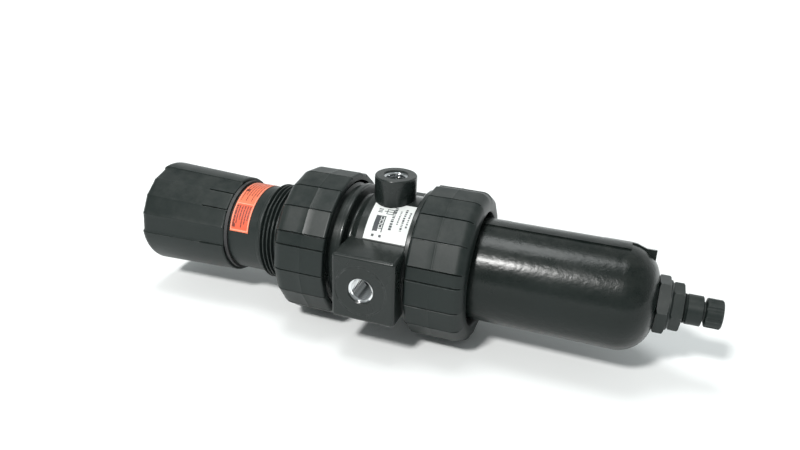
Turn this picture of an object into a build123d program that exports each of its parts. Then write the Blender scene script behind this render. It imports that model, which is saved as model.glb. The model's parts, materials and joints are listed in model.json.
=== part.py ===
"""Inline compressed-air pressure regulator with a filter bowl, lying on its clamp collars.

Millimetres.  The main axis runs along X: adjusting knob at -X, drain at +X.
Inlet and outlet face -Y and +Y, the gauge port faces +Z.  Angles about the main
axis start at +Y and grow towards +Z.
"""
import os
from math import cos, radians, sin

from build123d import *

AXIS_Z = 36.0           # height of the main axis above the surface it lies on
RUN = 0.05              # radial clearance of a shaft in its hole
GAP = 0.3               # clearance between pieces that move past each other

PORT_X = -9.3           # plane of the inlet, outlet and gauge ports
PORT_FACE = 42.0        # from the axis to each port face
PORT_BORE = 5.9         # radius of the quarter-inch pipe thread
PORT_DEPTH = 17.0
GAUGE_TOP = 40.3        # from the axis to the top of the gauge boss
DRUM_R = 29.0
SPIGOT_R = 31.2         # crest radius of the collar threads on the casting

COLLAR_LEN = 26.6
COLLAR_FLAT = 35.5      # from the axis to each facet
COLLAR_CROWN = 36.0     # the corners between facets are rounded to this
COLLAR_LIP = 27.0       # bore of the retaining lip
LEFT_COLLAR_X = -30.95  # flat face of the bonnet collar
RIGHT_COLLAR_X = 8.25   # flat face of the bowl collar

NECK_R = 22.0
NECK_THREAD_R = 24.2
CHAMBER_R = 17.5        # spring chamber
KNOB_X0, KNOB_X1 = -139.25, -91.25
KNOB_R0, KNOB_R1 = 26.25, 24.4
FLAT_R0, FLAT_R1 = 25.4, 23.7   # corners between the flats of the grip

BOWL_R = 23.8
BOWL_BORE = 21.8
DOME_X = 97.6           # where the straight wall meets the domed end
DOME_KNUCKLE = 15.0
BOWL_END = DOME_X + DOME_KNUCKLE

AXIS = Axis((0, 0, AXIS_Z), (1, 0, 0))
SECTION = Plane(origin=(0, 0, AXIS_Z), x_dir=(1, 0, 0), z_dir=(0, -1, 0))


def outline(*corners):
    """Closed face from (x, radius) corners; a ("arc", middle, end) entry bends the side."""
    edges, here = [], corners[0]
    for corner in corners[1:] + (corners[0],):
        if corner[0] == "arc":
            edges.append(ThreePointArc(here, corner[1], corner[2]))
            here = corner[2]
        elif corner != here:
            edges.append(Line(here, corner))
            here = corner
    return make_face(edges)


def turned(*corners):
    """Solid of revolution about the main axis."""
    return revolve(SECTION * outline(*corners), AXIS)


def tube(x0, x1, outer, inner):
    return turned((x0, inner), (x0, outer), (x1, outer), (x1, inner))


def rod(x0, x1, radius):
    return turned((x0, 0), (x0, radius), (x1, radius), (x1, 0))


def at(angle, x, radius, shape):
    """Put a shape at a radius and an angle, its own Y pointing outwards."""
    return Pos(0, 0, AXIS_Z) * Rot(X=angle) * Pos(x, radius, 0) * shape


def hole(angle, x, near, far, radius):
    """Round cutter pointing away from the axis, between two distances from it."""
    cutter = Rot(X=-90) * Cylinder(radius, far - near)
    return at(angle, x, (near + far) / 2, cutter)


def hole_x(x0, x1, angle, offset, radius):
    return at(angle, (x0 + x1) / 2, offset, Rot(Y=90) * Cylinder(radius, x1 - x0))


def ridges(x0, x1, pitch, crest, root):
    """Corners of a screw thread's section from x0 to x1."""
    count = int(abs(x1 - x0) / pitch)
    step = pitch if x1 > x0 else -pitch
    corners = []
    for i in range(count):
        x = x0 + i * step
        corners += [(x, crest), (x + 0.5 * step, root)]
    return corners + [(x0 + count * step, crest)]


def prism(points, x0, x1):
    """Polygon across the main axis, swept from x0 to x1."""
    plane = Plane(origin=(x0, 0, AXIS_Z), x_dir=(0, 1, 0), z_dir=(1, 0, 0))
    return extrude(plane * make_face(Polyline(*points, close=True)), x1 - x0)


def wedge(angle0, angle1, x0, x1, reach=60.0):
    """Sector of the space round the axis, narrower than half a turn."""
    points = [(0, 0)]
    for angle in (angle0, (angle0 + angle1) / 2, angle1):
        points.append((reach * cos(radians(angle)), reach * sin(radians(angle))))
    return prism(points, x0, x1)


def coil(x0, x1, turns, mean, wire):
    """Round-wire spring along the main axis."""
    length = x1 - x0 - 2 * wire
    path = Helix(pitch=length / turns, height=length, radius=mean)
    start = Plane(origin=path @ 0, z_dir=path % 0)
    spring = sweep(start * Circle(wire), path=path, is_frenet=True)
    return Pos(x0 + wire, 0, AXIS_Z) * Rot(Y=90) * spring


# ---------------------------------------------------------------- clamp collars

WIDE, NARROW = 20.0, 10.0    # facet widths in degrees: four wide and one narrow, four times


def facets(first):
    """Angle and reach of each corner between two facets, from the start of a wide facet."""
    widths = ([WIDE] * 4 + [NARROW]) * 4
    corners, angle = [], first
    for width, after in zip(widths, widths[1:] + widths[:1]):
        angle += width
        corners.append((angle, COLLAR_FLAT / cos(radians((width + after) / 4))))
    return corners


def clamp_collar(x_flat, way, first, lip_face):
    """Faceted ring nut; its lip is at the far end in the direction `way`."""
    full, thread_end = 21.5, 19.0
    groove_width, groove_depth = 0.7, 0.55

    def u(distance):
        return x_flat + way * distance

    crest, root = SPIGOT_R + 0.4, SPIGOT_R + 1.3
    inner = [(u(d), r) for d, r in ridges(1.5, thread_end, 3.0, crest, root)]
    ring = turned(
        (u(0), root), (u(0), COLLAR_CROWN - 0.9), (u(0.9), COLLAR_CROWN), (u(full), COLLAR_CROWN),
        ("arc", (u(25.4), 34.3), (u(COLLAR_LEN), 30.4)),
        (u(COLLAR_LEN), COLLAR_LIP), (u(lip_face), COLLAR_LIP), (u(lip_face), root),
        (u(thread_end), root), *reversed(inner))
    corners = facets(first)
    points = [(r * cos(radians(a)), r * sin(radians(a))) for a, r in corners]
    ring &= prism(points, min(u(0), u(COLLAR_LEN)), max(u(0), u(COLLAR_LEN)))
    slot = Box(24.0, 2 * groove_depth, groove_width)
    slots = [at(a, u(12.5), min(r, COLLAR_CROWN), slot) for a, r in corners]
    return ring - slots


# ---------------------------------------------------------------- cast body

BODY_X0, BODY_X1 = -44.65, 25.9
CHAMBER_END = -36.0     # bottom of the diaphragm chamber
VALVE_BORE = 8.0
CAVITY_X = 2.0          # the bowl side is hollow from here
PASSAGE = 17.0          # the side passages run this far from the axis


def body():
    block_x0, block_x1, block_low, block_high = -23.2, 6.6, -15.4, 16.3
    left = ridges(-43.6, -31.0, 3.0, SPIGOT_R, SPIGOT_R - 0.9)
    right = ridges(24.4, 10.0, 3.0, SPIGOT_R, SPIGOT_R - 0.9)
    casting = turned(
        (BODY_X0, 0), (BODY_X0, SPIGOT_R - 0.9), *left, (-30.6, 29.8), (-27.9, 29.8), (-27.4, 31.3),
        (-25.9, 31.3), ("arc", (-25.25, 31.0), (-25.0, 30.4)), (-24.8, 26.8),
        ("arc", (-24.4, 25.9), (-23.5, 25.6)), ("arc", (-21.6, 27.6), (-19.4, DRUM_R)), (5.25, DRUM_R), (5.25, 32.4), (5.85, 33.0),
        (7.35, 33.0), (7.95, 32.4), (7.95, SPIGOT_R - 0.9), (9.0, SPIGOT_R), *reversed(right),
        (BODY_X1, SPIGOT_R - 0.9), (BODY_X1, 0))
    width, height = block_x1 - block_x0, block_high - block_low
    middle = ((block_x0 + block_x1) / 2, 0, AXIS_Z + (block_high + block_low) / 2)
    blocks = Pos(*middle) * Box(width, 2 * PORT_FACE, height)
    blocks = fillet(blocks.edges(), 1.6)
    boss = at(90, PORT_X, 0, Rot(X=-90) * Pos(0, 0, GAUGE_TOP / 2) * Cylinder(9.9, GAUGE_TOP))
    boss = fillet(boss.edges().group_by(Axis.Z)[-1], 0.7)
    casting = casting + blocks + boss

    cuts = [rod(BODY_X0 - 1, CHAMBER_END, 23.5), rod(CHAMBER_END - 1, CAVITY_X + 1, VALVE_BORE),
            rod(CAVITY_X, BODY_X1 + 1, 22.0), rod(18.0, BODY_X1 + 1, 24.9)]
    for angle, end in ((180, CAVITY_X + 1), (0, CHAMBER_END - 1)):
        cuts.append(hole(angle, PORT_X, PORT_FACE - PORT_DEPTH, PORT_FACE + 1, PORT_BORE))
        cuts.append(hole(angle, PORT_X, PASSAGE, PORT_FACE, 4.8))
        cuts.append(hole_x(min(PORT_X, end), max(PORT_X, end), angle, PASSAGE, 4.5))
        cuts.append(at(angle, PORT_X, PORT_FACE, Rot(X=-90) * Cone(5.4, 7.4, 2.0)))
        cuts.append(at(angle, PORT_X, PORT_FACE, Rot(X=-90) * (Cylinder(12.2, 0.3) - Cylinder(11.5, 0.3))))
    cuts.append(hole(90, PORT_X, 25.0, GAUGE_TOP + 1, 5.6))
    cuts.append(at(90, PORT_X, GAUGE_TOP, Rot(X=-90) * Cone(5.2, 7.0, 1.8)))
    cuts.append(hole(90, PORT_X, PASSAGE, 26.0, 2.0))
    cuts.append(hole_x(CHAMBER_END - 1, PORT_X, 90, PASSAGE, 1.6))
    return casting - cuts


def name_label():
    """Thin plate wrapped on the drum between the gauge boss and the inlet block."""
    band = tube(-15.9, 4.9, DRUM_R + 0.2, DRUM_R)
    return (band & wedge(103, 144.9, -30, 20)) - at(90, PORT_X, 30, Rot(X=-90) * Cylinder(10.2, 30))


# ---------------------------------------------------------------- bonnet and knob

BONNET_END = -110.0
SCREW_R = 5.0
NUT_THREAD_R = 4.0


def bonnet():
    thread = ridges(-72.2, -58.5, 2.117, NECK_THREAD_R, NECK_THREAD_R - 1.3)
    return turned(
        (BONNET_END, SCREW_R + RUN), (BONNET_END, 20.0), (-109.5, 20.5), (-91.5, 20.5),
        (-91.5, NECK_R), (-73.4, NECK_R), *thread, (-57.5, 25.2), (-49.65, 25.2), (-49.65, 30.8),
        (-46.15, 30.8), (-46.15, 23.5), (-52.0, 23.5), (-58.0, CHAMBER_R), (-106.0, CHAMBER_R),
        (-106.0, SCREW_R + RUN)) - hole(250, -84.0, 10, 30, 1.2)


def warning_label():
    return tube(-88.2, -78.0, NECK_R + 0.2, NECK_R) & wedge(38, 164.5, -100, -70)


def knob():
    rim, wall_in, hub_end = 3.2, -134.6, -113.0
    shell = turned(
        (KNOB_X0, 0), (KNOB_X0, KNOB_R0 - rim), ("arc", (KNOB_X0 + 0.9, KNOB_R0 - 0.9),
                                                 (KNOB_X0 + rim, KNOB_R0)),
        (KNOB_X1, KNOB_R1), (KNOB_X1, 22.4), (wall_in, 22.4), (wall_in, 9.0), (hub_end, 9.0),
        (hub_end, SCREW_R + RUN), (-132.0, SCREW_R + RUN), (-132.0, 0))
    shell -= rod(KNOB_X0 - 1, KNOB_X0 + 0.8, 15.0)
    grip = [knob_flats(start) for start in (95.5, 275.5)]
    slits = [at(start + turn, KNOB_X1 - 6.5, 23.2, Box(15, 1.9, 0.8))
             for start in (95.5, 275.5) for turn in (22.5, 45.0, 90.0)]
    return shell - grip - slits


def knob_flats(start):
    """Cutter for five flats side by side that taper with the grip."""
    sections = []
    for x, radius in ((KNOB_X0 - 1, FLAT_R0), (KNOB_X1 + 1, FLAT_R1)):
        corners = [(radius, start + 22.5 * i) for i in range(6)]
        corners += [(40.0, angle) for _, angle in reversed(corners)]
        points = [(r * cos(radians(a)), r * sin(radians(a))) for r, a in corners]
        plane = Plane(origin=(x, 0, AXIS_Z), x_dir=(0, 1, 0), z_dir=(1, 0, 0))
        sections.append(plane * make_face(Polyline(*points, close=True)))
    return loft(sections, ruled=True)


def adjusting_screw():
    return turned((-131.6, 0), (-131.6, 4.4), (-131.0, SCREW_R), (-104.7, SCREW_R), (-104.7, 7.5),
                  (-102.2, 7.5), (-102.2, NUT_THREAD_R), (-62.5, NUT_THREAD_R), (-62.0, 3.5),
                  (-62.0, 0))


def spring_nut():
    return turned((-97.0, NUT_THREAD_R + RUN), (-97.0, 16.8), (-92.0, 16.8), (-92.0, 8.5),
                  (-87.0, 8.5), (-87.0, NUT_THREAD_R + RUN))


# ---------------------------------------------------------------- diaphragm and valve

def diaphragm():
    return turned((-46.1, 30.6), (-46.1, 23.0), ("arc", (-49.3, 19.8), (-46.1, 16.6)), (-46.1, 3.0),
                  (-44.9, 3.0), (-44.9, 17.8), ("arc", (-48.0, 19.8), (-44.7, 21.8)), (-44.7, 30.6))


def top_plate():
    return turned((-51.5, 0), (-51.5, 7.0), (-48.0, 7.0), (-48.0, 15.6), (-46.1, 15.6),
                  (-46.1, 0))


def bottom_plate():
    return turned((-44.9, 0), (-44.9, 15.0), (-43.3, 15.0), (-43.3, 5.0), (-40.5, 5.0),
                  (-40.5, 0)) + rod(-46.1, -44.9, 3.0)


def valve_seat():
    return turned((CHAMBER_END, 4.2), (CHAMBER_END, VALVE_BORE), (-31.0, VALVE_BORE),
                  (-31.0, 5.2), (-30.0, 4.8), (-30.0, 4.2))


def valve_stem():
    return turned((-40.2, 0), (-40.2, 1.6), (-29.0, 1.6), (-29.0, 6.0), (-26.6, 6.0), (-26.6, 1.6),
                  (-14.0, 1.6), (-14.0, 0))


def valve_seal():
    return tube(-29.95, -29.0, 6.0, 1.6)


def valve_cage():
    cage = turned((-24.0, 5.4), (-24.0, 7.95), (-20.9, 7.95), (-20.9, 6.9), (-19.1, 6.9),
                  (-19.1, 7.95), (0, 7.95), (0, 0), (-2.0, 0), (-12.0, 0), (-12.0, 1.65),
                  (-17.0, 1.65), (-17.0, 2.7), (-2.0, 2.7), (-2.0, 5.4))
    return cage - [hole_x(-3, 1, 60 * i, 4.1, 1.1) for i in range(6)]


def o_ring(x, centre, thick):
    return revolve(SECTION * Pos(x, centre) * Circle(thick), AXIS)


# ---------------------------------------------------------------- filter and bowl

def deflector():
    disc = turned((2.4, 8.2), (2.4, 9.6), (5.0, 9.6), (5.0, 20.5), (7.2, 20.5), (7.2, 12.8),
                  (10.0, 12.8), (10.0, 8.2))
    slot = Rot(Y=35) * Box(6, 6, 1.2)
    return disc - [at(24 * i, 6.1, 19.5, slot) for i in range(15)]


def filter_element():
    return tube(10.0, 60.0, 13.0, 8.5)


def element_retainer():
    return turned((0.1, 0), (0.1, 2.2), (56.0, 2.2), (60.0, 6.0), (60.0, 14.5), (61.6, 18.5),
                  (63.2, 18.5), (63.2, 14.0), (66.0, 6.0), (68.0, 0))


COVER_MID, COVER_HALF = 66.0, 29.0   # the sight gauge sits on this side of the bowl
COVER_X0, COVER_X1 = 34.0, 98.75
WINDOW_X0, WINDOW_X1, WINDOW_W = 44.0, 88.0, 5.0


def window(width, x0, x1):
    """Round-ended cutter through the bowl wall."""
    plate = SlotCenterToCenter(x1 - x0 - width, width)
    cutter = extrude(Rot(X=-90) * plate, 6, both=True)
    return at(COVER_MID, (x0 + x1) / 2, BOWL_R, cutter)


def bowl():
    inner = BOWL_BORE
    knuckle = DOME_KNUCKLE - (BOWL_R - BOWL_BORE)
    centre_r = BOWL_R - DOME_KNUCKLE
    bend, bend_in = DOME_KNUCKLE * sin(radians(45)), knuckle * sin(radians(45))
    shell = turned(
        (20.5, inner), (20.5, 24.1), (20.9, 24.5), (22.0, 24.5), (22.0, 23.1), (24.0, 23.1),
        (24.0, 24.5), (26.2, 24.5), (26.2, SPIGOT_R), (29.9, SPIGOT_R), (29.9, 25.2),
        ("arc", (30.3, 24.2), (31.3, BOWL_R)), (DOME_X, BOWL_R),
        ("arc", (DOME_X + bend, centre_r + bend), (BOWL_END, centre_r)), (BOWL_END, 6.75),
        (BOWL_END - 2, 6.75), (BOWL_END - 2, centre_r),
        ("arc", (DOME_X + bend_in, centre_r + bend_in), (DOME_X, inner)))
    return shell - window(WINDOW_W, WINDOW_X0, WINDOW_X1)


def sight_cover():
    low, high = COVER_MID - COVER_HALF, COVER_MID + COVER_HALF
    plate = tube(COVER_X0, COVER_X1, BOWL_R + 0.65, BOWL_R) & wedge(low, high, COVER_X0, COVER_X1)
    plate -= window(WINDOW_W, WINDOW_X0, WINDOW_X1)
    tab = turned((98.0, 22.0), (98.0, BOWL_R + 0.65), (98.75, BOWL_R + 0.65), (101.0, 24.2),
                 (103.5, 23.3), (105.3, 22.7), (109.4, 22.7), (109.4, 17.5))
    tab = (tab & wedge(COVER_MID - 10, COVER_MID + 10, 95, 112)) - bowl_space()
    return plate + tab


def bowl_space():
    """The room the bowl takes at its domed end."""
    return turned((90, 0), (90, BOWL_R), (DOME_X, BOWL_R),
                  ("arc", (DOME_X + DOME_KNUCKLE * sin(radians(45)),
                           BOWL_R - DOME_KNUCKLE * (1 - sin(radians(45)))),
                   (BOWL_END, BOWL_R - DOME_KNUCKLE)), (BOWL_END, 0))


def sight_lens():
    strip = tube(WINDOW_X0, WINDOW_X1, BOWL_R + 0.35, 22.6)
    return strip & window(WINDOW_W, WINDOW_X0, WINDOW_X1)


# ---------------------------------------------------------------- drain

SHANK_R = 6.6
PIN_R = 2.2


def hexagon(x0, x1, radius, chamfer, angle):
    """Hexagonal nut with a corner at an angle and its outer edges taken off."""
    corners = [(radius * cos(radians(angle + 60 * i)), radius * sin(radians(angle + 60 * i)))
               for i in range(6)]
    edge = radius - chamfer
    cone = turned((x0, 0), (x0, edge), (x0 + 0.6 * chamfer, radius), (x1 - 0.6 * chamfer, radius),
                  (x1, edge), (x1, 0))
    return (prism(corners, x0, x1) & cone) - rod(x0 - 1, x1 + 1, SHANK_R)


def drain_ring():
    return hexagon(BOWL_END, 117.2, 13.0, 0.8, 51.0)


def drain_body():
    thread = ridges(117.4, 126.0, 0.86, SHANK_R, SHANK_R - 0.45)
    return turned((107.4, 2.6), (107.4, 8.0), (108.0, 8.6), (109.4, 8.6), (109.4, SHANK_R),
                  *thread, (131.0, SHANK_R), (131.25, 6.3), (131.25, 4.35), (124.0, 4.35),
                  (124.0, 2.6))


def drain_nut():
    washer = turned((117.2, SHANK_R), (117.2, 11.0), (117.9, 11.0), (118.7, 9.8), (118.7, SHANK_R))
    return hexagon(118.7, 123.1, 10.5, 0.7, 60.5) + washer


def drain_knob():
    grip = turned((125.0, PIN_R + RUN), (125.0, 4.3), (132.2, 4.3), (132.7, 6.1), (133.0, 6.35),
                  (138.7, 6.35), (139.25, 5.8), (139.25, PIN_R + RUN))
    flutes = [at(45 * i, 136.2, 7.2, Rot(Y=90) * Cylinder(1.4, 7.4)) for i in range(8)]
    return grip - flutes


def drain_pin():
    return turned((104.9, 0), (104.9, 3.6), (107.05, 3.6), (107.05, PIN_R), (136.5, PIN_R), (136.5, 0))


PARTS = {
    "body": body,
    "name_label": name_label,
    "bonnet": bonnet,
    "warning_label": warning_label,
    "knob_lock_ring": lambda: tube(-90.9, -89.2, 23.1, NECK_R),
    "bonnet_collar": lambda: clamp_collar(LEFT_COLLAR_X, -1, 71.95, 20.2),
    "bonnet_slip_ring": lambda: tube(-50.95, -49.95, 30.8, 25.6),
    "bowl_collar": lambda: clamp_collar(RIGHT_COLLAR_X, 1, 79.75, 22.1),
    "knob": knob,
    "adjusting_screw": adjusting_screw,
    "thrust_washer": lambda: tube(-106.0, -105.0, 7.5, SCREW_R + GAP),
    "spring_nut": spring_nut,
    "control_spring": lambda: coil(-91.9, -48.1, 7.5, 12.4, 1.7),
    "diaphragm_top_plate": top_plate,
    "diaphragm": diaphragm,
    "diaphragm_bottom_plate": bottom_plate,
    "valve_seat": valve_seat,
    "valve_stem": valve_stem,
    "valve_seal": valve_seal,
    "valve_spring": lambda: coil(-26.5, -2.1, 8, 3.9, 0.5),
    "valve_cage": valve_cage,
    "cage_o_ring": lambda: o_ring(-20.0, 7.42, 0.52),
    "deflector": deflector,
    "filter_element": filter_element,
    "element_retainer": element_retainer,
    "bowl": bowl,
    "bowl_o_ring": lambda: o_ring(23.0, 23.85, 0.75),
    "sight_cover": sight_cover,
    "sight_lens": sight_lens,
    "drain_ring": drain_ring,
    "drain_body": drain_body,
    "drain_gasket": lambda: tube(109.4, 110.6, 8.6, SHANK_R),
    "drain_nut": drain_nut,
    "drain_knob": drain_knob,
    "drain_pin": drain_pin,
}

os.makedirs("parts", exist_ok=True)
for name, make in PARTS.items():
    export_step(make(), f"parts/{name}.step")
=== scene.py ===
"""Studio scene of an air pressure regulator with a filter bowl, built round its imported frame.

The main axis runs along X, from the adjusting knob at -X to the drain at +X.  Angles about
the axis are in degrees from +Y towards +Z, and sizes in the classes are millimetres.
"""
from __future__ import annotations

import json
import logging
import math
import random
from dataclasses import dataclass, field
from enum import Enum
from typing import Callable, Sequence

import bmesh
import bpy
from mathutils import Matrix, Vector


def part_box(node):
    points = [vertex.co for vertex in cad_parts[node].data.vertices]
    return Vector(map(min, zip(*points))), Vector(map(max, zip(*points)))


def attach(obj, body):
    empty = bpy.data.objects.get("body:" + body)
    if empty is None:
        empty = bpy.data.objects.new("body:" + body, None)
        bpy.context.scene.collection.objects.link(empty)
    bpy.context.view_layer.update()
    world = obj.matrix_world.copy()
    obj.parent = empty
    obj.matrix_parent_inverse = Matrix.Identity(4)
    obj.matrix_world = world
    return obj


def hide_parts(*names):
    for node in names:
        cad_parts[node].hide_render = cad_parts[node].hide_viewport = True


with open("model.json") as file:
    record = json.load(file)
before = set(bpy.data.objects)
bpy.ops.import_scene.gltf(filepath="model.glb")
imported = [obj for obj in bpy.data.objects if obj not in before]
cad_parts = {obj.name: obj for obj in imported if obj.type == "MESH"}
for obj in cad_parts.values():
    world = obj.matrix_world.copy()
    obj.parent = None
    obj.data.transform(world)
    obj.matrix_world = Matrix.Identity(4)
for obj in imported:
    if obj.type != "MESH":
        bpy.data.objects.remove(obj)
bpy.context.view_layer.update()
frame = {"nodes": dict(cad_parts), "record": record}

MM = 0.001
AXIS_HEIGHT = sum(corner.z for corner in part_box("bowl")) / 2 / MM
log = logging.getLogger("regulator")

Section = list[tuple[float, float]]
Pairs = list[tuple[float, float]]


class Body(Enum):
    """The bodies of the frame that new pieces ride on."""

    ROOT = "body"
    BONNET_COLLAR = "bonnet_collar"
    BOWL_COLLAR = "bowl_collar"
    KNOB = "knob"


# ------------------------------------------------------------------ mesh helpers


def span(node: str) -> tuple[float, float]:
    """Ends of a frame node along the main axis, in millimetres.

    Args:
        node: Name of the node.

    Returns:
        The lowest and highest X.
    """
    low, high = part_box(node)
    return low.x / MM, high.x / MM


def smooth(value: float) -> float:
    """Ease a value from 0 to 1, held at both ends."""
    value = min(max(value, 0.0), 1.0)
    return value * value * (3 - 2 * value)


def blend(a: float, b: float, share: float) -> float:
    """Number that lies the given share of the way from a to b."""
    return a + (b - a) * share


def steps(start: float, end: float, size: float) -> list[float]:
    """Even stations from start to end, both included.

    Args:
        start: First station.
        end: Last station.
        size: Largest distance between two stations.

    Returns:
        The stations in order.
    """
    count = max(1, math.ceil(abs(end - start) / size))
    return [blend(start, end, i / count) for i in range(count + 1)]


def arc(centre: tuple[float, float], radius: float, start: float, end: float,
        count: int = 8) -> Section:
    """Points of a round corner in a section.

    Args:
        centre: Centre of the arc, as (x, radius).
        radius: Radius of the arc.
        start: First direction in degrees, 0 towards +X and 90 away from the axis.
        end: Last direction in degrees.
        count: Number of sides.

    Returns:
        The points, first to last.
    """
    turns = [math.radians(blend(start, end, i / count)) for i in range(count + 1)]
    return [(centre[0] + radius * math.cos(t), centre[1] + radius * math.sin(t)) for t in turns]


def main_axis() -> Matrix:
    """Placement that puts local X on the regulator's main axis."""
    return Matrix.Translation((0, 0, AXIS_HEIGHT))


def finish_mesh(name: str, mesh: bmesh.types.BMesh, sharp: float = 35.0) -> bpy.types.Object:
    """Clean a mesh, shade it and put it in the scene.

    Args:
        name: Name of the new object.
        mesh: The mesh, in millimetres, freed here.
        sharp: Edges that bend more than this many degrees stay crisp.

    Returns:
        The new object.
    """
    bmesh.ops.remove_doubles(mesh, verts=mesh.verts, dist=1e-4)
    bmesh.ops.dissolve_degenerate(mesh, edges=mesh.edges, dist=1e-4)
    bmesh.ops.recalc_face_normals(mesh, faces=mesh.faces)
    bmesh.ops.scale(mesh, verts=mesh.verts, vec=(MM, MM, MM))
    for face in mesh.faces:
        face.smooth = True
    for edge in mesh.edges:
        if len(edge.link_faces) == 2 and edge.calc_face_angle(0.0) > math.radians(sharp):
            edge.smooth = False
    data = bpy.data.meshes.new(name)
    mesh.to_mesh(data)
    mesh.free()
    piece = bpy.data.objects.new(name, data)
    bpy.context.scene.collection.objects.link(piece)
    return piece


def wrap(name: str, section: Callable[[float], Section], angles: Sequence[float],
         place: Matrix | None = None) -> bpy.types.Object:
    """Make a closed piece by carrying a section round an axis.

    Args:
        name: Name of the new object.
        section: Gives the closed (x, radius) outline at an angle; always as many points.
        angles: The angles in degrees, once round.
        place: Puts local X on the axis; the main axis if left out.

    Returns:
        The new object.
    """
    place = place or main_axis()
    mesh = bmesh.new()
    rings = []
    for angle in angles:
        turn = math.radians(angle)
        rings.append([mesh.verts.new(place @ Vector((x, r * math.cos(turn), r * math.sin(turn))))
                      for x, r in section(angle)])
    for here, after in zip(rings, rings[1:] + rings[:1]):
        for k in range(len(here)):
            nxt = (k + 1) % len(here)
            mesh.faces.new((here[k], after[k], after[nxt], here[nxt]))
    return finish_mesh(name, mesh)


@dataclass(frozen=True)
class Thread:
    """A screw thread cut on a round surface."""

    start: float
    end: float
    pitch: float
    crest: float
    root: float
    fade: float = 1.6

    def radius(self, x: float, angle: float) -> float:
        """Radius of the thread.

        Args:
            x: Station along the axis.
            angle: Direction round the axis, in degrees.

        Returns:
            The radius in millimetres.
        """
        phase = ((x - self.start) / self.pitch - angle / 360) % 1.0
        height = smooth(1.35 - abs(phase - 0.5) * 3.4)
        inside = min(abs(x - self.start), abs(self.end - x)) / self.fade
        return blend(self.root, self.crest, height * smooth(inside))

    def section(self, angle: float) -> Section:
        """Points of the thread at an angle, from start to end."""
        return [(x, self.radius(x, angle)) for x in steps(self.start, self.end, self.pitch / 9)]


def patch(mesh: bmesh.types.BMesh, x0: float, x1: float, angle0: float, angle1: float,
          radius: float, thick: float) -> None:
    """Add a thin closed plate that hugs a cylinder round the main axis.

    Args:
        mesh: Mesh to add to.
        x0: First edge along the axis.
        x1: Last edge along the axis.
        angle0: First edge round the axis, in degrees.
        angle1: Last edge round the axis.
        radius: Radius of the plate's underside.
        thick: Thickness of the plate.
    """
    grid = []
    for angle in steps(angle0, angle1, 2.5):
        turn = math.radians(angle)
        row = []
        for x, r in ((x0, radius), (x0, radius + thick), (x1, radius + thick), (x1, radius)):
            row.append(mesh.verts.new((x, r * math.cos(turn), AXIS_HEIGHT + r * math.sin(turn))))
        grid.append(row)
    for here, after in zip(grid, grid[1:]):
        for k in range(4):
            nxt = (k + 1) % 4
            mesh.faces.new((here[k], after[k], after[nxt], here[nxt]))
    mesh.faces.new(grid[0])
    mesh.faces.new(reversed(grid[-1]))


# ------------------------------------------------------------------ shader groups


class Graph:
    """Adds and joins nodes in one node tree."""

    def __init__(self, tree: bpy.types.NodeTree) -> None:
        """Work on the given tree."""
        self.tree = tree

    def add(self, kind: str, inputs: dict | None = None, **settings: object) -> bpy.types.Node:
        """Add a node.

        Args:
            kind: Blender's name for the node, without its ShaderNode prefix.
            inputs: Values or sockets for its inputs, by name or number.
            settings: Properties of the node.

        Returns:
            The new node.
        """
        prefix = "" if kind.startswith("Node") else "ShaderNode"
        node = self.tree.nodes.new(prefix + kind)
        for key, value in settings.items():
            setattr(node, key, value)
        for key, value in (inputs or {}).items():
            if isinstance(value, bpy.types.NodeSocket):
                self.tree.links.new(value, node.inputs[key])
            else:
                node.inputs[key].default_value = value
        return node

    def math(self, operation: str, a: object, b: object = 0.0) -> bpy.types.NodeSocket:
        """Result of a Math node on two values or sockets, held between 0 and 1."""
        node = self.add("Math", {0: a, 1: b}, operation=operation, use_clamp=True)
        return node.outputs[0]

    def ramp(self, value: bpy.types.NodeSocket, low: float, high: float) -> bpy.types.NodeSocket:
        """Value stretched so that low becomes 0 and high becomes 1."""
        node = self.add("MapRange", {"Value": value, "From Min": low, "From Max": high})
        return node.outputs["Result"]

    def mix(self, share: bpy.types.NodeSocket, a: object, b: object) -> bpy.types.NodeSocket:
        """Colour that lies between two colours."""
        node = self.add("Mix", {0: share, 6: a, 7: b}, data_type="RGBA")
        return node.outputs[2]


def new_group(name: str, inputs: Sequence[tuple[str, float]],
              outputs: Sequence[str]) -> tuple[Graph, dict, bpy.types.Node]:
    """Start a shader node group.

    Args:
        name: Name of the group.
        inputs: Names and default values of its number inputs.
        outputs: Names of its outputs.

    Returns:
        A graph on the group, its input sockets by name, and its output node.
    """
    tree = bpy.data.node_groups.new(name, "ShaderNodeTree")
    for label, value in inputs:
        socket = tree.interface.new_socket(label, in_out="INPUT", socket_type="NodeSocketFloat")
        socket.default_value = value
    for label in outputs:
        tree.interface.new_socket(label, in_out="OUTPUT", socket_type="NodeSocketFloat")
    graph = Graph(tree)
    source = graph.add("NodeGroupInput")
    return graph, {s.name: s for s in source.outputs if s.name}, graph.add("NodeGroupOutput")


def grain_group() -> bpy.types.NodeTree:
    """Moulded or sprayed skin: a fine height with a slow change of tone.

    Returns:
        The group's tree.
    """
    graph, given, out = new_group("skin_grain", [("Scale", 900.0), ("Tone Scale", 25.0)],
                                  ["Height", "Tone"])
    place = graph.add("TexCoord").outputs["Object"]
    fine = graph.add("TexNoise", {"Vector": place, "Scale": given["Scale"], "Detail": 3.0,
                                  "Roughness": 0.6})
    slow = graph.add("TexNoise", {"Vector": place, "Scale": given["Tone Scale"], "Detail": 4.0,
                                  "Roughness": 0.55})
    graph.tree.links.new(fine.outputs["Fac"], out.inputs["Height"])
    graph.tree.links.new(graph.ramp(slow.outputs["Fac"], 0.32, 0.68), out.inputs["Tone"])
    return graph.tree


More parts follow.
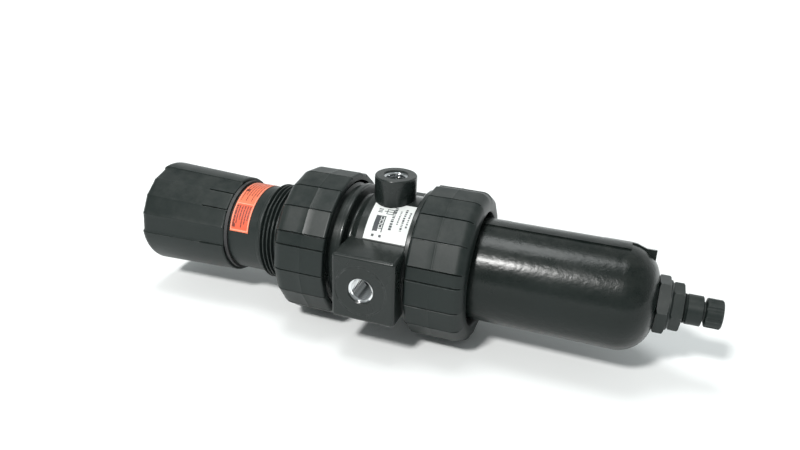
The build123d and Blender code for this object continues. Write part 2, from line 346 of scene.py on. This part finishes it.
def wear_and_highlight_group() -> bpy.types.NodeTree:
    """Mask of rubbed edges, also used as a painted edge highlight, broken up by noise.

    Returns:
        The group's tree.
    """
    graph, given, out = new_group("edge_wear_and_highlight", [("Width", 0.0004), ("Amount", 1.0)], ["Mask"])
    round_edge = graph.add("Bevel", {"Radius": given["Width"]}, samples=4)
    flat = graph.add("NewGeometry")
    same = graph.add("VectorMath", {0: round_edge.outputs[0], 1: flat.outputs["Normal"]},
                     operation="DOT_PRODUCT")
    edge = graph.ramp(same.outputs["Value"], 0.995, 0.86)
    place = graph.add("TexCoord").outputs["Object"]
    noise = graph.add("TexNoise", {"Vector": place, "Scale": 420.0, "Detail": 4.0})
    broken = graph.math("MULTIPLY", edge, graph.ramp(noise.outputs["Fac"], 0.36, 0.62))
    graph.tree.links.new(graph.math("MULTIPLY", broken, given["Amount"]), out.inputs["Mask"])
    return graph.tree


def dust_group() -> bpy.types.NodeTree:
    """Mask of a thin film of dust on faces that look up.

    Returns:
        The group's tree.
    """
    graph, given, out = new_group("dust_film", [("Amount", 0.3)], ["Mask"])
    normal = graph.add("SeparateXYZ", {0: graph.add("NewGeometry").outputs["Normal"]})
    up = graph.ramp(normal.outputs["Z"], 0.1, 1.0)
    place = graph.add("TexCoord").outputs["Object"]
    noise = graph.add("TexNoise", {"Vector": place, "Scale": 140.0, "Detail": 6.0,
                                   "Roughness": 0.7})
    patchy = graph.math("MULTIPLY", up, graph.ramp(noise.outputs["Fac"], 0.35, 0.7))
    graph.tree.links.new(graph.math("MULTIPLY", patchy, given["Amount"]), out.inputs["Mask"])
    return graph.tree


def scratch_group() -> bpy.types.NodeTree:
    """Height of hairlines that run round the main axis, as on turned metal.

    Returns:
        The group's tree.
    """
    graph, given, out = new_group("turned_lines", [("Scale", 60.0)], ["Height"])
    place = graph.add("TexCoord").outputs["Object"]
    stretch = graph.add("Mapping", {"Vector": place, "Scale": (40.0, 1.0, 1.0)})
    lines = graph.add("TexNoise", {"Vector": stretch.outputs[0], "Scale": given["Scale"],
                                   "Detail": 3.0})
    graph.tree.links.new(lines.outputs["Fac"], out.inputs["Height"])
    return graph.tree


# ------------------------------------------------------------------ finishes


@dataclass(frozen=True)
class Finish:
    """How one material looks; each number that varies has its own noise."""

    name: str
    colour: tuple[float, float, float]
    second: tuple[float, float, float]
    roughness: float
    rough_spread: float = 0.08
    metallic: float = 0.0
    specular: float = 0.5
    coat: float = 0.0
    coat_roughness: float = 0.08
    grain: float = 900.0
    bump: float = 0.08
    bump_depth: float = 0.00005
    worn_and_highlight_colour: tuple[float, float, float] = (0.4, 0.4, 0.4)
    wear_and_highlight: float = 0.0
    wear_and_highlight_width: float = 0.0004
    dust: float = 0.0
    turned: bool = False
    transmission: float = 0.0

    def material(self) -> bpy.types.Material:
        """Build the material.

        Returns:
            The new material, with a Principled shader and the shared groups.
        """
        material = bpy.data.materials.new(self.name)
        material.use_nodes = True
        graph = Graph(material.node_tree)
        shader = material.node_tree.nodes["Principled BSDF"]
        links = material.node_tree.links
        for socket, value in (("Metallic", self.metallic), ("Coat Weight", self.coat),
                              ("Coat Roughness", self.coat_roughness),
                              ("Specular IOR Level", self.specular),
                              ("Transmission Weight", self.transmission)):
            shader.inputs[socket].default_value = value
        grain = graph.add("Group", node_tree=bpy.data.node_groups["skin_grain"])
        grain.inputs["Scale"].default_value = self.grain
        colour = graph.mix(grain.outputs["Tone"], (*self.colour, 1), (*self.second, 1))
        # Pale rubbed edges: partly real wear, partly a painted edge highlight.
        if self.wear_and_highlight:
            wear_and_highlight = graph.add("Group", {"Amount": self.wear_and_highlight, "Width": self.wear_and_highlight_width},
                             node_tree=bpy.data.node_groups["edge_wear_and_highlight"])
            colour = graph.mix(wear_and_highlight.outputs["Mask"], colour, (*self.worn_and_highlight_colour, 1))
        if self.dust:
            dust = graph.add("Group", {"Amount": self.dust},
                             node_tree=bpy.data.node_groups["dust_film"])
            colour = graph.mix(dust.outputs["Mask"], colour, (0.55, 0.54, 0.51, 1))
        links.new(colour, shader.inputs["Base Color"])
        rough = graph.add("MapRange", {"Value": grain.outputs["Tone"],
                                       "To Min": max(self.roughness - self.rough_spread, 0.02),
                                       "To Max": self.roughness + self.rough_spread})
        links.new(rough.outputs["Result"], shader.inputs["Roughness"])
        height = grain.outputs["Height"]
        if self.turned:
            height = graph.add("Group", node_tree=bpy.data.node_groups["turned_lines"]).outputs[0]
        bump = graph.add("Bump", {"Height": height, "Strength": self.bump,
                                  "Distance": self.bump_depth})
        links.new(bump.outputs["Normal"], shader.inputs["Normal"])
        return material


# The worn colours on the edges of the black finishes are partly painted edge highlights.
FINISHES = {
    "black_casting": Finish("casting_enamel", (0.008, 0.0115, 0.0105), (0.012, 0.016, 0.015), 0.27,
                            0.05, specular=0.32, coat=0.1, coat_roughness=0.14, grain=520,
                            bump=0.25, worn_and_highlight_colour=(0.24, 0.25, 0.25), wear_and_highlight=0.35, wear_and_highlight_width=0.0003,
                            dust=0.03),
    "black_bowl": Finish("bowl_enamel", (0.004, 0.007, 0.006), (0.007, 0.011, 0.010), 0.29,
                         0.05, specular=0.25, coat=0.05, coat_roughness=0.12, grain=330, bump=0.6,
                         bump_depth=0.00022, worn_and_highlight_colour=(0.16, 0.17, 0.17), wear_and_highlight=0.2, dust=0.03),
    "black_plastic": Finish("moulded_black", (0.007, 0.0115, 0.0105), (0.011, 0.016, 0.015), 0.42,
                            0.06, specular=0.29, grain=1500, bump=0.25, bump_depth=0.00006,
                            worn_and_highlight_colour=(0.075, 0.08, 0.08), wear_and_highlight=0.5, wear_and_highlight_width=0.0004, dust=0.035),
    "label_white": Finish("white_film", (0.62, 0.64, 0.63), (0.68, 0.69, 0.67), 0.34, 0.05,
                          grain=300, bump=0.05),
    "label_orange": Finish("orange_film", (0.72, 0.155, 0.075), (0.78, 0.19, 0.095), 0.42, 0.05,
                           grain=300, bump=0.05),
    "steel": Finish("plated_steel", (0.55, 0.55, 0.56), (0.65, 0.65, 0.66), 0.32, 0.08,
                    metallic=1.0, grain=700, turned=True, bump=0.3),
    "brass": Finish("turned_brass", (0.70, 0.50, 0.22), (0.80, 0.60, 0.30), 0.28, 0.08,
                    metallic=1.0, grain=700, turned=True, bump=0.3),
    "rubber": Finish("nitrile", (0.015, 0.015, 0.016), (0.025, 0.025, 0.026), 0.62, 0.08,
                     grain=1400, bump=0.3, dust=0.1),
    "diaphragm": Finish("cloth_rubber", (0.10, 0.045, 0.03), (0.14, 0.06, 0.04), 0.6, 0.08,
                        grain=1800, bump=0.6),
    "white_plastic": Finish("white_acetal", (0.70, 0.70, 0.67), (0.76, 0.76, 0.73), 0.40, 0.06,
                            grain=800, bump=0.1),
    "filter_media": Finish("sintered_beads", (0.66, 0.64, 0.58), (0.80, 0.79, 0.74), 0.85, 0.05,
                           grain=2600, bump=1.0, bump_depth=0.0003),
    "clear": Finish("clear_nylon", (0.80, 0.86, 0.86), (0.88, 0.92, 0.92), 0.10, 0.03,
                    grain=400, bump=0.05, transmission=0.9),
    "aluminium": Finish("pressed_aluminium", (0.70, 0.70, 0.71), (0.78, 0.78, 0.79), 0.34, 0.08,
                        metallic=1.0, grain=900, turned=True, bump=0.3),
    "bare_zinc": Finish("tapped_zinc", (0.66, 0.68, 0.69), (0.86, 0.87, 0.88), 0.15, 0.06,
                        metallic=1.0, grain=900, bump=0.2),
    "print_black": Finish("black_ink", (0.02, 0.025, 0.03), (0.05, 0.055, 0.06), 0.5, 0.05,
                          grain=700, bump=0.05),
    "print_red": Finish("dark_ink", (0.10, 0.018, 0.012), (0.16, 0.03, 0.02), 0.5, 0.05,
                        grain=700, bump=0.05),
    "print_deep": Finish("deep_ink", (0.60, 0.085, 0.04), (0.66, 0.11, 0.05), 0.45, 0.05,
                         grain=700, bump=0.05),
    "print_pale": Finish("pale_ink", (0.80, 0.34, 0.24), (0.84, 0.42, 0.31), 0.45, 0.05,
                         grain=700, bump=0.05),
}


class Wardrobe:
    """Makes each material once and dresses pieces in it."""

    def __init__(self) -> None:
        """Build the shared groups and every material."""
        for build in (grain_group, wear_and_highlight_group, dust_group, scratch_group):
            build()
        self.materials = {name: finish.material() for name, finish in FINISHES.items()}

    def dress(self, piece: bpy.types.Object, finish: str) -> None:
        """Give a piece one material all over."""
        piece.data.materials.clear()
        piece.data.materials.append(self.materials[finish])

    def dress_frame(self) -> None:
        """Dress every node of the frame by its own material slot."""
        for entry in frame["record"]["subparts"]:
            self.dress(frame["nodes"][entry["node"]], entry["material_slot"])


@dataclass
class Assembly:
    """A group of pieces that is built, dressed and set on a body."""

    wardrobe: Wardrobe

    def settle(self, piece: bpy.types.Object, body: Body, finish: str, slot: str,
               stands_for: Sequence[str] = ()) -> bpy.types.Object:
        """Dress a new piece, put it on its body and report it.

        Args:
            piece: The new piece.
            body: Body that it moves with.
            finish: Its material.
            slot: The record's slot that the material belongs to; not used.
            stands_for: Frame nodes that it takes the place of.

        Returns:
            The same piece.
        """
        self.wardrobe.dress(piece, finish)
        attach(piece, body.value)
        if stands_for:
            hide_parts(*stands_for)
        log.info("%s: %d faces on %s", piece.name, len(piece.data.polygons), body.value)
        return piece


# ------------------------------------------------------------------ knob and bonnet


@dataclass
class Knob(Assembly):
    """Push-to-lock adjusting knob: two round lands and two rows of five tapering flats."""

    closed_radius: float = 26.25
    open_radius: float = 24.4
    flat_closed: float = 25.35
    flat_open: float = 23.72
    flat_crown: float = 0.12
    flats: int = 5
    first_flat: float = 95.5
    flat_width: float = 22.5
    rim: float = 3.2
    lip: float = 0.3
    dish_radius: float = 14.4
    dish_depth: float = 0.8
    inside_radius: float = 22.4
    roof_x: float = -134.6
    hub_radius: float = 9.0
    hub_end: float = -113.0
    bore_radius: float = 5.05
    bore_end: float = -132.0
    slit_corners: tuple[float, ...] = (22.5, 45.0, 90.0)
    slit_length: float = 14.0
    slit_half: float = 0.9
    slit_depth: float = 1.25

    def wall(self, x: float, angle: float, x0: float, x1: float) -> float:
        """Outer radius at a station and an angle.

        Args:
            x: Station along the axis.
            angle: Direction round the axis.
            x0: Closed end.
            x1: Open end.

        Returns:
            The radius in millimetres.
        """
        share = (x - x0) / (x1 - x0)
        land = blend(self.closed_radius, self.open_radius, share)
        corner = blend(self.flat_closed, self.flat_open, share)
        turn = (angle - self.first_flat) % 180
        off = turn % self.flat_width - self.flat_width / 2
        half = math.radians(self.flat_width / 2)
        flat = corner * math.cos(half) / math.cos(math.radians(off))
        flat += self.flat_crown * smooth(abs(off) / 2.5 - 3.5)
        end = self.flats * self.flat_width
        inside = min((turn + 90) % 180 - 90, end - turn)
        radius = blend(land, flat, smooth(inside + 0.5))
        along = smooth((x - (x1 - self.slit_length)) / 0.6)
        near = min(abs(turn - corner_at) for corner_at in self.slit_corners)
        return radius - self.slit_depth * along * smooth(1.7 - near / self.slit_half * 1.7)

    def build(self) -> None:
        """Make the knob."""
        x0, x1 = span("knob")
        stations = steps(x0 + self.rim, x1 - 0.5, 0.8)
        corner = arc((x0 + self.rim, 0.0), self.rim, 180, 90, 7)

        def section(angle: float) -> Section:
            """Outline of the cup.

            Args:
                angle: Direction round the axis.

            Returns:
                The closed outline, from the middle of the dish round to the bore.
            """
            rim_top = self.wall(x0 + self.rim, angle, x0, x1) - self.rim
            edge = self.wall(x1, angle, x0, x1)
            return [(x0 + self.dish_depth, 0), (x0 + self.dish_depth, self.dish_radius),
                    (x0 + 0.5, self.dish_radius + 0.5), (x0, self.dish_radius + 1.0), (x0, 21.0),
                    *[(x, r + rim_top) for x, r in corner],
                    *[(x, self.wall(x, angle, x0, x1)) for x in stations[1:]],
                    (x1 - self.lip / 2, edge - self.lip / 2), (x1, edge - self.lip),
                    (x1, self.inside_radius + 0.1), (x1 - 0.2, self.inside_radius),
                    (self.roof_x, self.inside_radius), (self.roof_x, self.hub_radius),
                    (self.hub_end, self.hub_radius), (self.hub_end, self.bore_radius),
                    (self.bore_end, self.bore_radius), (self.bore_end, 0)]

        near = (0.3, 0.5, 0.7, 0.9, 1.1, 1.4)
        offsets = [-d for d in reversed(near)] + [0, *near, 3, 6, 9, 12, 15, 18]
        angles = []
        for i in range(round(360 / self.flat_width)):
            start = self.first_flat + i * self.flat_width
            angles += [start + offset for offset in offsets]
        piece = wrap("knob_cup", section, angles)
        self.settle(piece, Body.KNOB, "black_plastic", "black_plastic", ["knob"])


@dataclass
class Bonnet(Assembly):
    """Spring housing with a plain neck, a panel thread and a clamped flange."""

    thread: Thread = field(default_factory=lambda: Thread(-72.4, -58.0, 2.117, 24.2, 22.5))
    sides: int = 144

    def build(self) -> None:
        """Make the bonnet."""
        # Outside, from the screw's hole to the start of the thread, and then back up the inside.
        before = [(-110.0, 5.05), (-110.0, 20.0), (-109.5, 20.5), (-91.5, 20.5), (-91.5, 21.6),
                  (-91.2, 22.0), (-73.9, 22.0), (-73.4, 22.1), (-72.9, 22.5)]
        after = [(-57.5, 25.2), (-49.65, 25.2), (-49.65, 30.8), (-46.15, 30.8), (-46.15, 23.5),
                 (-52.0, 23.5), (-58.0, 17.5), (-106.0, 17.5), (-106.0, 5.05)]
        piece = wrap("bonnet_shell", lambda angle: before + self.thread.section(angle) + after,
                     [360 * i / self.sides for i in range(self.sides)])
        self.settle(piece, Body.ROOT, "black_plastic", "black_plastic", ["bonnet"])


# ------------------------------------------------------------------ clamp collars


@dataclass
class Collar(Assembly):
    """Faceted ring nut with thin grooves between its facets and a round shoulder."""

    node: str = "bowl_collar"
    body: Body = Body.BOWL_COLLAR
    way: int = 1
    first: float = 79.75
    lip_face: float = 22.1
    wide: float = 20.0
    narrow: float = 10.0
    flat: float = 35.5
    crown: float = 36.0
    length: float = 26.6
    parting_line: float = 11.6
    shoulder_start: float = 21.5
    shoulder_drop: float = 4.9
    hole: float = 27.0
    groove_end: float = 25.2
    groove_half: float = 0.6
    groove_depth: float = 0.9

    def facets(self) -> tuple[Pairs, list[float]]:
        """Lay the facets out round the ring.

        Returns:
            Each facet's direction and half width, and the corners between the facets.
        """
        faces, corners, angle = [], [], self.first
        for width in ([self.wide] * 4 + [self.narrow]) * 4:
            faces.append((angle + width / 2, width / 2))
            angle += width
            corners.append(angle)
        return faces, corners

    def build(self) -> None:
        """Make the collar."""
        low, high = span(self.node)
        start = low if self.way > 0 else high
        faces, corners = self.facets()

        def turn(angle: float, other: float) -> float:
            """Turn between two directions, without its sign."""
            return abs((angle - other + 180) % 360 - 180)

        def wall(u: float, angle: float) -> float:
            """Outer radius of the ring.

            Args:
                u: Distance from the flat face.
                angle: Direction round the axis.

            Returns:
                The radius in millimetres.
            """
            off = min((turn(angle, face) - half, turn(angle, face)) for face, half in faces)[1]
            radius = min(self.flat / math.cos(math.radians(off)), self.crown)
            away = abs(u - self.parting_line)
            radius -= 0.12 * smooth((away - 0.15) / 0.5) + 0.004 * away
            ends = smooth((u - 0.3) / 0.8) * smooth((self.groove_end - u) / 0.8)
            gap = min(turn(angle, corner) for corner in corners)
            radius -= self.groove_depth * ends * smooth(1.7 - gap / self.groove_half * 1.7)
            if u > self.shoulder_start:
                bend = (u - self.shoulder_start) / (self.length - self.shoulder_start)
                radius -= self.shoulder_drop * (1 - math.sqrt(max(0.0, 1 - bend * bend)))
            return radius

        stations = [0.9, 1.1, 1.5, 2.0, 3.0, 5.0, 8.0, 10.9, 11.2, 11.45, 11.75, 12.0, 12.3, 15.0,
                    18.0, 20.5, 21.5, 22.4, 23.3, 24.1, 24.6, 25.1, 25.6, 26.0, 26.35, self.length]
        crest, root = 31.6, 32.5
        thread = Thread(1.5, 19.0, 3.0, crest, root, 2.0)

        def section(angle: float) -> Section:
            """Outline of the collar.

            Args:
                angle: Direction round the axis.

            Returns:
                The closed outline, its distances turned into stations.
            """
            edge = wall(stations[0], angle)
            points = [(0.0, root), (0.0, edge - 0.9), (0.12, edge - 0.5), (0.45, edge - 0.13),
                      *[(u, wall(u, angle)) for u in stations],
                      (self.length, self.hole + 1.0), (self.length - 0.3, self.hole + 0.3),
                      (self.length - 1.0, self.hole), (self.lip_face, self.hole),
                      (self.lip_face, root), *reversed(thread.section(angle))]
            return [(start + self.way * u, r) for u, r in points]

        near = (0.3, 0.5, 0.7, 0.9, 1.2)
        angles = []
        for corner, after in zip(corners, corners[1:] + [corners[0] + 360]):
            angles += [corner + d for d in (*[-d for d in reversed(near)], 0, *near)]
            angles += steps(corner + 2.4, after - 2.4, 2.6)
        piece = wrap(self.node + "_ring", section, angles)
        self.settle(piece, self.body, "black_plastic", "black_plastic", [self.node])


# ------------------------------------------------------------------ threads in the ports


@dataclass
class PortThreads(Assembly):
    """Bare metal lining of the tapped ports, with a real helix."""

    port_x: float = -9.3
    port_face: float = 42.0
    gauge_top: float = 40.3
    pitch: float = 1.41
    slack: float = 0.02
    thread_height: float = 0.9

    def lining(self, name: str, outward: Vector, face: float, bore: float, mouth: float,
               depth: float) -> None:
        """Make one lining.

        Args:
            name: Name of the new piece.
            outward: Direction out of the port.
            face: Distance of the port's face from the main axis.
            bore: Radius of the hole.
            mouth: Radius of the countersink at the face.
            depth: Length of the thread.
        """
        place = main_axis() @ Matrix.Translation((self.port_x, 0, 0))
        place @= outward.to_track_quat("X", "Z").to_matrix().to_4x4()
        skin = bore - self.slack
        crest = skin - 0.05 - self.thread_height
        thread = Thread(face - 1.0, face - depth, self.pitch, crest, skin - 0.05, 0.5)

        def section(angle: float) -> Section:
            """Outline of the lining at one angle, from its mouth inwards and back."""
            return [(face - 0.03, mouth - 0.03), (face - 0.03, mouth - 0.2),
                    *thread.section(angle), (face - depth, skin), (face - 1.42, skin)]

        piece = wrap(name, section, [6 * i for i in range(60)], place)
        self.settle(piece, Body.ROOT, "bare_zinc", "black_casting")

    def build(self) -> None:
        """Make the linings of the inlet, the outlet and the gauge port."""
        self.lining("inlet_thread", Vector((0, -1, 0)), self.port_face, 5.9, 7.05, 14.0)
        self.lining("outlet_thread", Vector((0, 1, 0)), self.port_face, 5.9, 7.05, 14.0)
        self.lining("gauge_thread", Vector((0, 0, 1)), self.gauge_top, 5.6, 6.7, 13.0)


# ------------------------------------------------------------------ printed labels


@dataclass
class Labels(Assembly):
    """Generic print on the two labels: plain bars and dashes, no lettering."""

    ink: float = 0.03
    seed: int = 7
    name_surface: float = 29.2
    comb_turns: tuple[float, float] = (120.4, 137.0)
    warning_surface: float = 22.2
    warning_turns: tuple[float, float] = (39.5, 163.0)
    divider: float = 126.5
    rows: int = 6

    def dashes(self, mesh: bmesh.types.BMesh, x: float, width: float, start: float, end: float,
               radius: float, rng: random.Random, longest: float = 4.0) -> None:
        """Add one row of uneven dashes that runs round the axis.

        Args:
            mesh: Mesh to add to.
            x: Middle of the row.
            width: Height of the dashes along the axis.
            start: First angle.
            end: Last angle.
            radius: Surface that carries the ink.
            rng: Source of the lengths.
            longest: Longest dash in degrees.
        """
        angle = start
        while angle < end - 0.6:
            long = min(rng.uniform(0.7, longest), end - angle)
            patch(mesh, x - width / 2, x + width / 2, angle, angle + long, radius, self.ink)
            angle += long + rng.uniform(0.5, 1.2)

    def build_name(self) -> None:
        """Print the white label: a dark comb, a plain symbol and short rows."""
        rng = random.Random(self.seed)
        surface = self.name_surface
        mesh = bmesh.new()
        for x in (-12.6, -8.4):
            patch(mesh, x, x + 0.5, *self.comb_turns, surface, self.ink)
        for start, end in ((120.4, 121.2), (124.6, 125.2), (128.8, 129.6), (133.2, 133.9)):
            patch(mesh, -12.6, -7.9, start, end, surface, self.ink)
        patch(mesh, -12.2, -10.2, 120.6, 136.6, surface, self.ink)
        for start in (121.4, 125.6, 130.0):
            patch(mesh, -9.9, -8.8, start, start + 2.6, surface, self.ink)
        for x in (-12.4, -8.9):
            patch(mesh, x, x + 1.3, 139.4, 141.9, surface, self.ink)
        for x, width, start, end in ((-4.6, 1.3, 109, 134), (-1.9, 0.7, 112, 128),
                                     (0.4, 1.0, 109, 133), (2.6, 0.8, 112, 130)):
            self.dashes(mesh, x, width, start, end, surface, rng, 2.2)
        self.dashes(mesh, -11.7, 2.0, 112.5, 117.0, surface, rng, 1.8)
        self.symbol(mesh, -8.6, 112.0, surface)
        piece = finish_mesh("name_label_print", mesh)
        self.settle(piece, Body.ROOT, "print_black", "label_white")

    def symbol(self, mesh: bmesh.types.BMesh, x: float, angle: float, surface: float) -> None:
        """Add the plain box-in-box mark of a regulator at a place on the label.

        Args:
            mesh: Mesh to add to.
            x: Lowest station of the mark.
            angle: First angle of the mark.
            surface: Radius that carries the ink.
        """
        line, box, turn = 0.35, 3.0, 6.0
        for dx in (0.0, box):
            patch(mesh, x + dx, x + dx + line, angle, angle + turn, surface, self.ink)
        for da in (0.0, turn - 0.7):
            patch(mesh, x, x + box, angle + da, angle + da + 0.7, surface, self.ink)
        patch(mesh, x - 1.2, x + box + 1.6, angle + turn / 2 - 0.35, angle + turn / 2 + 0.35,
              surface, self.ink)

    def build_warning(self) -> None:
        """Print the orange label: pale borders, a deeper panel and dark rows."""
        rng = random.Random(self.seed + 1)
        x0, x1 = span("warning_label")
        surface = self.warning_surface
        low, high = self.warning_turns
        dark, pale, deep = bmesh.new(), bmesh.new(), bmesh.new()
        for x in (x0 + 0.35, x1 - 0.6):
            patch(pale, x, x + 0.25, low, high, surface, self.ink)
        for angle in (low, self.divider, high - 0.7):
            patch(pale, x0 + 0.35, x1 - 0.35, angle, angle + 0.7, surface, self.ink)
        patch(deep, x0 + 0.8, x1 - 0.8, 128.2, 161.2, surface, self.ink)
        for i, x in enumerate(blend(x0 + 1.5, x1 - 1.5, i / (self.rows - 1))
                              for i in range(self.rows)):
            width = 1.0 if i == 0 else 0.55
            last = 159.0 - 5.0 * (i % 3)
            self.dashes(dark, x, width, 130.0, last, surface + self.ink, rng, 6)
            self.dashes(dark, x, 0.4, 62.0, 122.0 - 9.0 * (i % 2), surface, rng, 6)
            patch(dark, x - 0.1, x + 0.1, 130.0, last, surface + self.ink, self.ink)
        for angle in (101.0, 154.5):
            patch(dark, x0 + 1.0, x0 + 2.6, angle, angle + 4.5, surface, 2.2 * self.ink)
        for name, mesh, finish in (("print", dark, "print_red"), ("border", pale, "print_pale"),
                                   ("panel", deep, "print_deep")):
            self.settle(finish_mesh("warning_label_" + name, mesh), Body.ROOT, finish,
                        "label_orange")

    def build(self) -> None:
        """Print both labels."""
        self.build_name()
        self.build_warning()


# ------------------------------------------------------------------ studio


@dataclass
class Studio:
    """Pale floor, soft lights and the camera."""

    floor_size: float = 12.0
    eye: tuple[float, float, float] = (0.09138, -0.27836, 0.18535)
    tilt: tuple[float, float, float] = (65.50, -1.76, 20.19)
    lens: float = 30.43
    key_power: float = 15.0
    top_power: float = 5.5
    painted_glow_start: float = 0.2
    painted_glow_end: float = 1.1

    def floor(self) -> None:
        """Lay the pale floor, whose painted glow grows brighter away from the regulator."""
        mesh = bmesh.new()
        bmesh.ops.create_grid(mesh, x_segments=8, y_segments=8, size=self.floor_size / 2 / MM)
        plane = finish_mesh("studio_floor", mesh)
        material = bpy.data.materials.new("studio_paper")
        material.use_nodes = True
        graph = Graph(material.node_tree)
        shader = material.node_tree.nodes["Principled BSDF"]
        shader.inputs["Roughness"].default_value = 0.9
        shader.inputs["Specular IOR Level"].default_value = 0.1
        noise = graph.add("TexNoise", {"Vector": graph.add("TexCoord").outputs["Object"],
                                       "Scale": 6.0, "Detail": 3.0})
        colour = graph.mix(noise.outputs["Fac"], (0.90, 0.91, 0.91, 1), (0.92, 0.93, 0.93, 1))
        material.node_tree.links.new(colour, shader.inputs["Base Color"])
        # Painted glow: the floor emits light, none next to the regulator and more further out.
        place = graph.add("NewGeometry").outputs["Position"]
        reach = graph.add("VectorMath", {0: place}, operation="LENGTH").outputs["Value"]
        painted_glow = graph.ramp(reach, self.painted_glow_start, self.painted_glow_end)
        material.node_tree.links.new(painted_glow, shader.inputs["Emission Strength"])
        shader.inputs["Emission Color"].default_value = (0.97, 1.0, 1.0, 1)
        plane.data.materials.append(material)

    def lamp(self, name: str, place: tuple[float, float, float], size: float, power: float,
             colour: tuple[float, float, float]) -> None:
        """Hang one soft light that looks at the regulator.

        Args:
            name: Name of the light.
            place: Where it hangs, in metres.
            size: Length of its sides, in metres.
            power: Its power in watts.
            colour: Its colour.
        """
        light = bpy.data.lights.new(name, "AREA")
        light.shape, light.size = "SQUARE", size
        light.energy, light.color = power, colour
        lamp = bpy.data.objects.new(name, light)
        lamp.location = place
        aim = Vector((0, 0, 0.03)) - Vector(place)
        lamp.rotation_euler = aim.to_track_quat("-Z", "Y").to_euler()
        bpy.context.scene.collection.objects.link(lamp)

    def sky(self) -> None:
        """Light the room softly, brightest low down at the back."""
        world = bpy.data.worlds.new("studio_room")
        world.use_nodes = True
        bpy.context.scene.world = world
        graph = Graph(world.node_tree)
        background = world.node_tree.nodes["Background"]
        place = graph.add("SeparateXYZ", {0: graph.add("TexCoord").outputs["Generated"]})
        back = graph.ramp(place.outputs["Y"], -0.2, 0.9)
        low = graph.ramp(place.outputs["Z"], 0.95, 0.0)
        share = graph.math("MULTIPLY", back, low)
        room = graph.mix(share, (0.36, 0.385, 0.385, 1), (0.95, 0.99, 0.99, 1))
        seen = graph.add("LightPath").outputs["Is Camera Ray"]
        colour = graph.mix(seen, room, (1.0, 1.0, 1.0, 1))
        world.node_tree.links.new(colour, background.inputs["Color"])

    def camera(self) -> None:
        """Set the camera."""
        data = bpy.data.cameras.new("studio_camera")
        data.lens, data.sensor_width, data.clip_start = self.lens, 36.0, 0.01
        camera = bpy.data.objects.new("studio_camera", data)
        camera.location = self.eye
        camera.rotation_euler = [math.radians(a) for a in self.tilt]
        bpy.context.scene.collection.objects.link(camera)
        bpy.context.scene.camera = camera

    def build(self) -> None:
        """Make the floor, the lights and the camera."""
        self.floor()
        self.lamp("front_box", (-0.20, -0.87, 1.00), 0.16, self.key_power,
                  (1.0, 0.995, 0.98))
        self.lamp("overhead_box", (-0.13, 0.06, 1.25), 0.45, self.top_power,
                  (0.97, 1.0, 1.0))
        self.sky()
        self.camera()
        scene = bpy.context.scene
        scene.view_settings.view_transform = "Standard"
        scene.view_settings.look = "None"


def main() -> None:
    """Build every class in order."""
    logging.basicConfig(level=logging.INFO, format="%(name)s %(message)s")
    wardrobe = Wardrobe()
    wardrobe.dress_frame()
    Knob(wardrobe).build()
    Bonnet(wardrobe).build()
    Collar(wardrobe, "bonnet_collar", Body.BONNET_COLLAR, -1, 71.95, 20.2).build()
    Collar(wardrobe).build()
    PortThreads(wardrobe).build()
    Labels(wardrobe).build()
    Studio().build()


if __name__ == "__main__":
    main()
